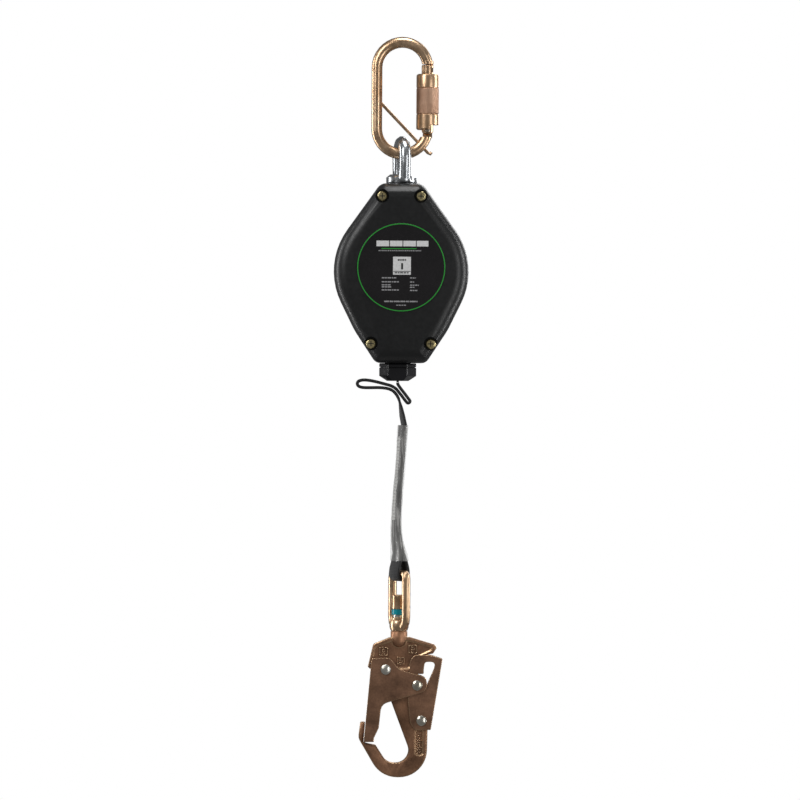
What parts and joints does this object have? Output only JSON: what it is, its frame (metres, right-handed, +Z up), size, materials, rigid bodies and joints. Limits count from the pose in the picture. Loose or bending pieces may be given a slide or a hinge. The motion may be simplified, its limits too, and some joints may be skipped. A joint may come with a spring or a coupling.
{
  "type": "self retracting lifeline",
  "caption": "Self retracting fall-arrest lifeline: carabiner with captive pin, swivel eye, web drum in a casing, web with stopper, swivel bail and double-locking snap hook",
  "frame": {"origin": "inner top of the anchor carabiner's upper bend, where it hangs on its anchor", "axes": "+Z up the line, the label faces -Y, the carabiner's gate is on the +X side"},
  "size_m": [0.125, 0.0669, 0.6882],
  "materials": {
    "gold_zinc": "yellow passivated zinc plate",
    "sleeve_zinc": "matt yellow passivated zinc plate, knurled",
    "brown_zinc": "copper brown passivated zinc plate",
    "bright_zinc": "bright zinc plate",
    "steel": "bare steel",
    "brass": "yellow brass colour",
    "case_plastic": "satin black moulding",
    "nozzle_plastic": "glossy black moulding",
    "label_film": "black printed film",
    "web_fabric": "black woven web",
    "clear_vinyl": "clear soft film",
    "tag_card": "dark printed tag",
    "teal_band": "teal indicator"
  },
  "bodies": {
    "carabiner": {"carabiner_frame": "gold_zinc", "carabiner_gate_rivet": "bright_zinc", "carabiner_latch_pin": "gold_zinc", "captive_pin": "gold_zinc"},
    "gate": {"carabiner_gate": "gold_zinc", "gate_plunger": "steel", "gate_spring": "steel"},
    "lock_sleeve": {"carabiner_sleeve": "sleeve_zinc"},
    "eye": {"swivel_eye": "bright_zinc", "eye_nut": "bright_zinc", "eye_washer": "steel"},
    "casing": {"front_cover": "case_plastic", "rear_cover": "case_plastic", "cover_screw_1": "brass", "cover_screw_2": "brass", "cover_screw_3": "brass", "cover_screw_4": "brass", "label_plate": "label_film", "anchor_block": "steel", "frame_plate_front": "steel", "frame_plate_rear": "steel", "main_shaft": "steel", "shaft_ring_front": "steel", "shaft_ring_rear": "steel", "lock_ring": "steel", "spring_cup": "steel", "spring_cover": "steel", "power_spring": "steel", "web_nozzle": "nozzle_plastic", "web_guide_pin_left": "steel", "web_guide_pin_right": "steel", "web_inner_run": "web_fabric", "web_payout_span": "web_fabric"},
    "drum": {"drum_hub": "steel", "drum_flange_front": "steel", "drum_flange_rear": "steel", "drum_bush_front": "brass", "drum_bush_rear": "brass", "web_coil": "web_fabric", "pawl_pin_a": "steel", "pawl_pin_b": "steel"},
    "pawl_body_a": {"pawl_a": "steel"},
    "pawl_body_b": {"pawl_b": "steel"},
    "lifeline": {"lifeline_web": "web_fabric", "clear_sleeve": "clear_vinyl", "printed_tag": "tag_card"},
    "bail": {"swivel_bail": "gold_zinc"},
    "hook": {"swivel_stem": "gold_zinc", "load_indicator": "teal_band", "swivel_washer_upper": "bright_zinc", "swivel_washer_lower": "gold_zinc", "hook_body": "brown_zinc", "keeper_rivet": "bright_zinc", "lever_rivet": "bright_zinc", "lever_spring": "steel"},
    "keeper_body": {"keeper": "brown_zinc", "lock_pin": "bright_zinc", "keeper_spring": "steel"},
    "lever_body": {"lock_lever": "brown_zinc"}
  },
  "joints": [
    {"name": "gate_open", "type": "hinge", "parent": "carabiner", "child": "gate", "pos_m": [0.0236, 0, -0.0763], "axis": [0, -1, 0], "range_deg": [0, 32], "stiffness_Nm_per_rad": 0.2, "springref_deg": -28.65},
    {"name": "sleeve_twist", "type": "hinge", "parent": "gate", "child": "lock_sleeve", "pos_m": [0.0236, 0, -0.05], "axis": [0, 0, 1], "range_deg": [0, 90], "stiffness_Nm_per_rad": 0.02, "springref_deg": -28.65},
    {"name": "eye_swing", "type": "hinge", "parent": "carabiner", "child": "eye", "pos_m": [0, 0, -0.09865], "axis": [1, 0, 0], "range_deg": [-80, 80]},
    {"name": "casing_swivel", "type": "hinge", "parent": "eye", "child": "casing", "pos_m": [0, 0, -0.1265], "axis": [0, 0, 1], "continuous": true},
    {"name": "web_payout", "type": "slide", "parent": "casing", "child": "lifeline", "axis": [0, 0, -1], "range_m": [0, 3.35], "stiffness_N_per_m": 4, "springref_m": -5, "deforming": ["web_payout_span"]},
    {"name": "drum_turn", "type": "hinge", "parent": "casing", "child": "drum", "pos_m": [0, 0, -0.203], "axis": [0, -1, 0], "range_deg": [-1, 5761]},
    {"name": "pawl_a_swing", "type": "hinge", "parent": "drum", "child": "pawl_body_a", "pos_m": [0, 0.014, -0.184], "axis": [0, -1, 0], "range_deg": [0, 12], "stiffness_Nm_per_rad": 0.01, "springref_deg": -28.65},
    {"name": "pawl_b_swing", "type": "hinge", "parent": "drum", "child": "pawl_body_b", "pos_m": [0, 0.014, -0.222], "axis": [0, -1, 0], "range_deg": [0, 12], "stiffness_Nm_per_rad": 0.01, "springref_deg": -28.65},
    {"name": "bail_swing", "type": "hinge", "parent": "lifeline", "child": "bail", "pos_m": [0, 0, -0.4892], "axis": [0.4695, -0.8829, 0], "range_deg": [-60, 60]},
    {"name": "hook_swivel", "type": "hinge", "parent": "bail", "child": "hook", "pos_m": [0, 0, -0.5417], "axis": [0, 0, 1], "continuous": true},
    {"name": "keeper_open", "type": "hinge", "parent": "hook", "child": "keeper_body", "pos_m": [-0.0121, 0, -0.5778], "axis": [0, -1, 0], "range_deg": [0, 15], "stiffness_Nm_per_rad": 0.1, "springref_deg": -34.38},
    {"name": "lever_squeeze", "type": "hinge", "parent": "hook", "child": "lever_body", "pos_m": [0.0213, 0, -0.6252], "axis": [0, -1, 0], "range_deg": [0, 8], "stiffness_Nm_per_rad": 0.1, "springref_deg": -34.38}
  ],
  "couplings": [
    {"joint": "drum_turn", "follows": "web_payout", "rad_per_m": 30.009}
  ]
}
